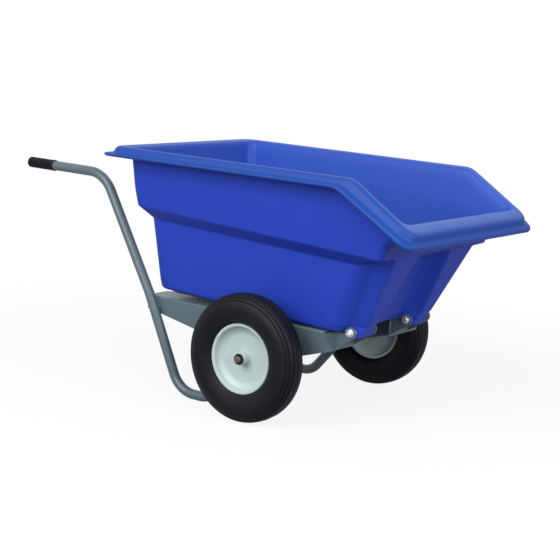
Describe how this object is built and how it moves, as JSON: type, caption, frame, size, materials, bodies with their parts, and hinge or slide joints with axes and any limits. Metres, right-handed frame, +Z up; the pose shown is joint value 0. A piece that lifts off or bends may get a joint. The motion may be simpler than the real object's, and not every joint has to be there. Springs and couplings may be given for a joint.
{
  "type": "tipping barrow",
  "caption": "Garden tipping barrow: a deep moulded tub with a sloped pouring lip, hinged on a tubular steel frame with bent handles, legs and pneumatic wheels.",
  "frame": {"origin": "on the ground, midway between the wheels and straight under the axle", "axes": "+X forward towards the pouring lip, +Y to the barrow's left, +Z up"},
  "size_m": [1.5908, 0.825, 0.789],
  "materials": {
    "frame_paint": "satin blue-grey powder coat",
    "tub_plastic": "moulded, faintly grained, low gloss",
    "rim_paint": "pale mint-white gloss paint",
    "tyre_rubber": "matt black rubber",
    "grip_plastic": "black soft plastic",
    "zinc": "bright zinc plate",
    "axle_steel": "dull oiled steel",
    "bush_nylon": "black nylon"
  },
  "bodies": {
    "frame": {"rail_right": "frame_paint", "clevis_right": "frame_paint", "handle_tube_right": "frame_paint", "grip_right": "grip_plastic", "axle_spacer_right": "axle_steel", "axle_washer_right": "axle_steel", "cotter_pin_right": "zinc", "pivot_bolt_right": "zinc", "pivot_nut_right": "zinc", "pivot_washer_outer_right": "zinc", "pivot_washer_inner_right": "zinc", "rail_left": "frame_paint", "clevis_left": "frame_paint", "handle_tube_left": "frame_paint", "grip_left": "grip_plastic", "axle_spacer_left": "axle_steel", "axle_washer_left": "axle_steel", "cotter_pin_left": "zinc", "pivot_bolt_left": "zinc", "pivot_nut_left": "zinc", "pivot_washer_outer_left": "zinc", "pivot_washer_inner_left": "zinc", "axle_beam": "frame_paint", "axle": "axle_steel", "rest_bar": "frame_paint", "cross_channel": "frame_paint"},
    "wheel_right": {"tyre_right": "tyre_rubber", "rim_outer_right": "rim_paint", "rim_inner_right": "rim_paint", "hub_right": "rim_paint", "bush_outer_right": "bush_nylon", "bush_inner_right": "bush_nylon"},
    "wheel_left": {"tyre_left": "tyre_rubber", "rim_outer_left": "rim_paint", "rim_inner_left": "rim_paint", "hub_left": "rim_paint", "bush_outer_left": "bush_nylon", "bush_inner_left": "bush_nylon"},
    "tub": {"tub": "tub_plastic", "pivot_sleeve_right": "zinc", "pivot_sleeve_left": "zinc"}
  },
  "joints": [
    {"name": "tub_tip", "type": "hinge", "parent": "frame", "child": "tub", "pos_m": [0.2775, 0, 0.305], "axis": [0, 1, 0], "range_deg": [0, 85]},
    {"name": "wheel_right_spin", "type": "hinge", "parent": "frame", "child": "wheel_right", "pos_m": [0, -0.368, 0.2], "axis": [0, 1, 0], "continuous": true},
    {"name": "wheel_left_spin", "type": "hinge", "parent": "frame", "child": "wheel_left", "pos_m": [0, 0.368, 0.2], "axis": [0, 1, 0], "continuous": true}
  ]
}
